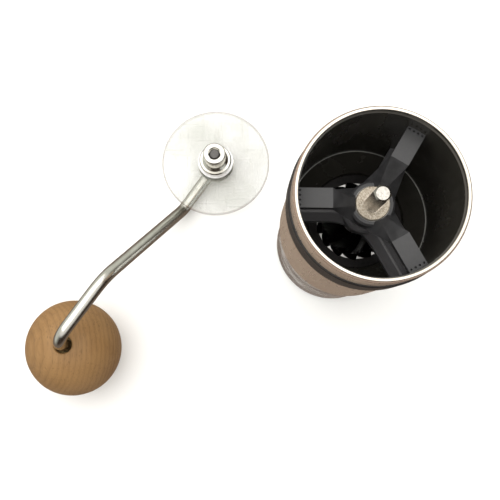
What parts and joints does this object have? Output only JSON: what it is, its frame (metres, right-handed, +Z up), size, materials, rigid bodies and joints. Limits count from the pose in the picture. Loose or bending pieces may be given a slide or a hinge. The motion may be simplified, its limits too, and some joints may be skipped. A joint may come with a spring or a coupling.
{
  "type": "hand crank coffee grinder",
  "caption": "Hand-held coffee grinder with burrs, open hopper and catch jar; its cranked handle with clear lid and ball knob lies beside it, ready to be put on.",
  "frame": {"origin": "centre of the catch jar's flat foot", "axes": "+Z up along the drive shaft; the crank lies towards -X"},
  "size_m": [0.1838, 0.1487, 0.155],
  "materials": {
    "polished_steel": "polished stainless steel",
    "bronze_sleeve": "glossy metallic bronze",
    "black_grip": "satin black",
    "hopper_black": "glossy black moulding",
    "spider_black": "satin black, fine grain",
    "washer_steel": "dull, pitted",
    "bearing_steel": "ground bearing steel",
    "spring_steel": "bright drawn wire",
    "burr_steel": "machined burr steel",
    "dial_black": "fluted black moulding",
    "jar_glass": "clear pressed glass",
    "satin_steel": "satin turned stainless steel",
    "plunger_steel": "dark blued steel",
    "clear_lid": "clear acrylic, lightly scratched",
    "oak": "oiled oak",
    "bushing_brass": "plain bearing"
  },
  "bodies": {
    "drive_train": {"drive_shaft": "polished_steel", "bearing_washer": "washer_steel", "upper_bearing_inner_ring": "bearing_steel", "lower_bearing_inner_ring": "bearing_steel", "spring_seat": "spring_steel", "burr_spring": "spring_steel", "shaft_circlip": "spring_steel"},
    "housing": {"inner_tube": "polished_steel", "outer_sleeve": "bronze_sleeve", "grip_band": "black_grip", "hopper_liner": "hopper_black", "upper_spider": "spider_black", "lower_spider": "spider_black", "upper_bearing_outer_ring": "bearing_steel", "upper_bearing_balls": "bearing_steel", "lower_bearing_outer_ring": "bearing_steel", "lower_bearing_balls": "bearing_steel", "burr_carrier": "hopper_black", "outer_burr": "burr_steel", "burr_screws": "spring_steel", "thread_ring": "hopper_black"},
    "jar": {"catch_jar": "jar_glass"},
    "burr": {"inner_burr": "burr_steel", "click_disc": "spring_steel"},
    "dial": {"adjust_dial": "dial_black", "detent_balls": "spring_steel"},
    "plunger": {"socket_plunger": "plunger_steel"},
    "crank": {"crank_hub": "satin_steel", "crank_arm": "satin_steel", "lid_retaining_ring": "spring_steel", "knob_bolt": "satin_steel"},
    "lid": {"lid": "clear_lid"},
    "knob": {"knob": "oak", "knob_bushing": "bushing_brass"}
  },
  "joints": [
    {"name": "grind_turn", "type": "hinge", "parent": "drive_train", "child": "housing", "pos_m": [0, 0, 0.1], "axis": [0, 0, 1], "continuous": true},
    {"name": "jar_unscrew", "type": "hinge", "parent": "housing", "child": "jar", "pos_m": [0, 0, 0.07], "axis": [0, 0, 1], "range_deg": [-450, 0]},
    {"name": "burr_travel", "type": "slide", "parent": "drive_train", "child": "burr", "axis": [0, 0, 1], "range_m": [-0.0015, 0.00025]},
    {"name": "dial_turn", "type": "hinge", "parent": "burr", "child": "dial", "pos_m": [0, 0, 0.061], "axis": [0, 0, 1], "range_deg": [-540, 90]},
    {"name": "crank_place", "type": "hinge", "parent": "drive_train", "child": "plunger", "pos_m": [-0.03273, 0.02267, 0.0904], "axis": [0.6154, 0.7877, -0.0288], "range_deg": [0, 183.79]},
    {"name": "crank_seat", "type": "slide", "parent": "plunger", "child": "crank", "axis": [-0.0166, 0.086, 0.9962], "range_m": [0, 0.0159]},
    {"name": "lid_turn", "type": "hinge", "parent": "crank", "child": "lid", "pos_m": [-0.0613, 0.042, 0.00865], "axis": [0.0166, -0.086, -0.9962], "continuous": true},
    {"name": "knob_spin", "type": "hinge", "parent": "crank", "child": "knob", "pos_m": [-0.12953, -0.05519, 0.02294], "axis": [0.0166, -0.086, -0.9962], "continuous": true}
  ],
  "couplings": [
    {"joint": "dial_turn", "follows": "burr_travel", "rad_per_m": 6283.2},
    {"joint": "lid_turn", "follows": "grind_turn", "ratio": 1}
  ]
}
